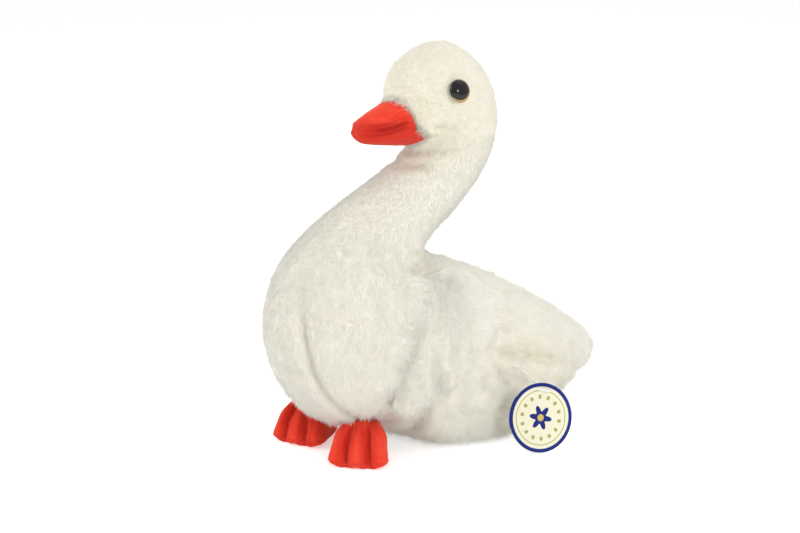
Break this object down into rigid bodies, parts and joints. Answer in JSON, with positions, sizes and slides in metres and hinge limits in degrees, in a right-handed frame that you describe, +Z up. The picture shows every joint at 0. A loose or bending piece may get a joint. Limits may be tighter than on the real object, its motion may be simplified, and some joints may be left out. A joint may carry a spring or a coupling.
{
  "type": "plush swan",
  "caption": "Sitting stuffed swan in white pile cloth with an upright neck, folded wings, red webbed feet and beak, glossy eyes and a hang tag.",
  "frame": {"origin": "on the ground under the belly, midway between the two sides", "axes": "+Z up, -Y the way the swan looks, +X its left side"},
  "size_m": [0.1606, 0.2672, 0.2491],
  "materials": {
    "white_pile": "short soft pile, longer on wings, hips and tail",
    "white_lining": "knitted backing",
    "red_velour": "fine velour",
    "polyester_wadding": "loose fibre filling",
    "eye_plastic": "moulded, black pupil in a gold ring",
    "washer_plastic": "moulded",
    "tag_card": "coated card",
    "clear_nylon": "clear moulded strand"
  },
  "bodies": {
    "root": {"side_panel_left": "white_pile", "side_panel_right": "white_pile", "belly_gusset": "white_pile", "body_filling": "polyester_wadding", "wing_left_cover": "white_pile", "wing_left_lining": "white_lining", "wing_left_filling": "polyester_wadding", "wing_right_cover": "white_pile", "wing_right_lining": "white_lining", "wing_right_filling": "polyester_wadding", "beak_upper": "red_velour", "beak_lower": "red_velour", "beak_filling": "polyester_wadding", "foot_left_upper": "red_velour", "foot_left_sole": "red_velour", "foot_left_filling": "polyester_wadding", "foot_right_upper": "red_velour", "foot_right_sole": "red_velour", "foot_right_filling": "polyester_wadding", "eye_left": "eye_plastic", "eye_right": "eye_plastic", "eye_washer_left": "washer_plastic", "eye_washer_right": "washer_plastic", "hang_tag": "tag_card", "tag_fastener": "clear_nylon"}
  },
  "joints": []
}
